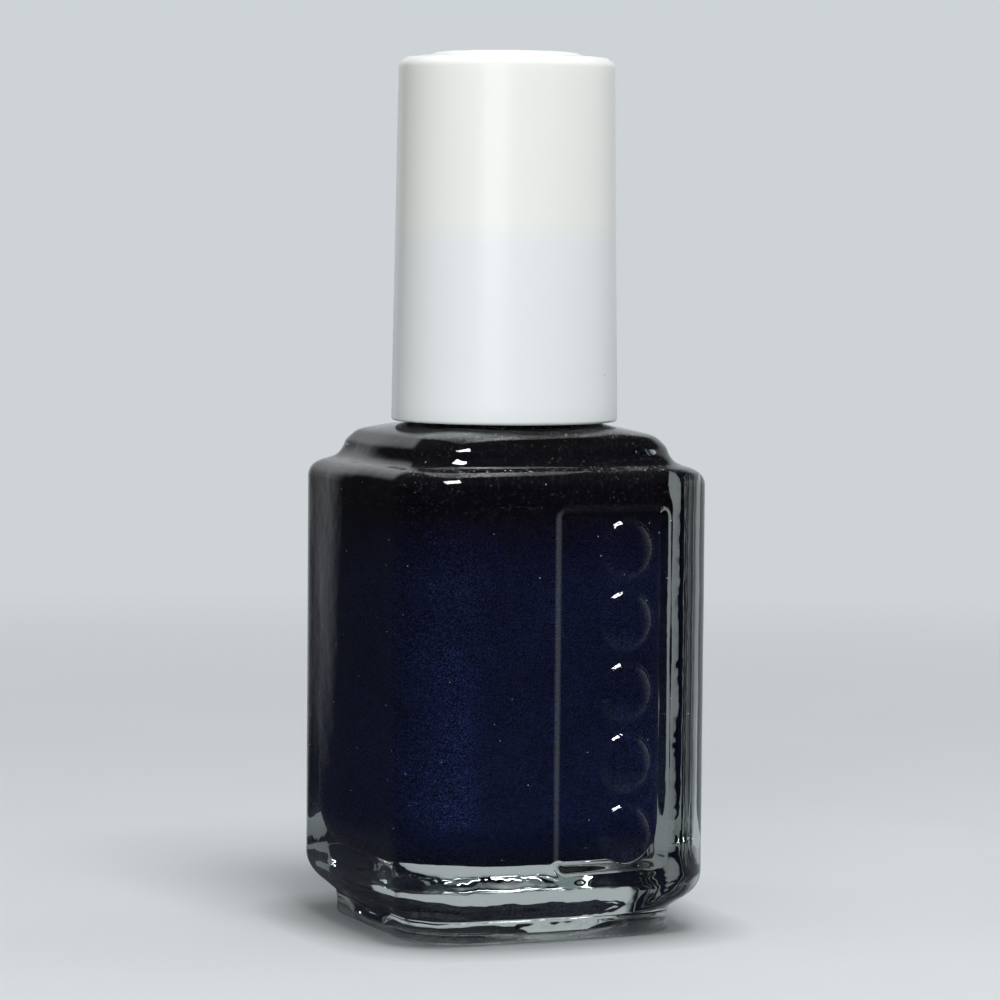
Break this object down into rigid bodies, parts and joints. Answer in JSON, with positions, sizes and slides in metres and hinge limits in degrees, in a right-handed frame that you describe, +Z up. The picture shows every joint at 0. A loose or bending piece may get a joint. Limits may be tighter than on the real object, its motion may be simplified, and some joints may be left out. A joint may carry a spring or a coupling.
{
  "type": "nail polish bottle",
  "caption": "Square glass nail polish bottle with a stepped shoulder and foot, and a tall round screw closure that carries the brush.",
  "frame": {"origin": "centre of the base, on the surface that the bottle stands on", "axes": "+Z up along the closure's axis; the face with the relief panel looks along -Y; +X to that face's right"},
  "size_m": [0.0288, 0.0288, 0.075],
  "materials": {
    "clear_glass": "clear moulded glass",
    "polish": "dark navy liquid with fine blue shimmer",
    "label": "printed film, blank",
    "white_gloss": "polished white",
    "natural_plastic": "satin natural white",
    "washer": "soft matt",
    "black_plastic": "satin black",
    "staple_metal": "drawn",
    "nylon": "wet filaments",
    "steel": "polished"
  },
  "bodies": {
    "bottle": {"bottle": "clear_glass", "polish": "polish", "base_label": "label"},
    "washer": {"sealing_washer": "washer"},
    "closure": {"cap_shell": "white_gloss", "inner_cap": "natural_plastic", "brush_rod": "black_plastic", "staple": "staple_metal", "bristles": "nylon"},
    "ball_1": {"mixing_ball_1": "steel"},
    "ball_2": {"mixing_ball_2": "steel"}
  },
  "joints": [
    {"name": "cap_lift", "type": "slide", "parent": "bottle", "child": "washer", "axis": [0, 0, 1], "range_m": [0, 0.052]},
    {"name": "cap_turn", "type": "hinge", "parent": "washer", "child": "closure", "pos_m": [0, 0, 0.0574], "axis": [0, 0, 1], "range_deg": [0, 540]},
    {"name": "ball_1_rise", "type": "slide", "parent": "bottle", "child": "ball_1", "axis": [0, 0, 1], "range_m": [0, 0.027]},
    {"name": "ball_2_rise", "type": "slide", "parent": "bottle", "child": "ball_2", "axis": [0, 0, 1], "range_m": [0, 0.027]}
  ]
}
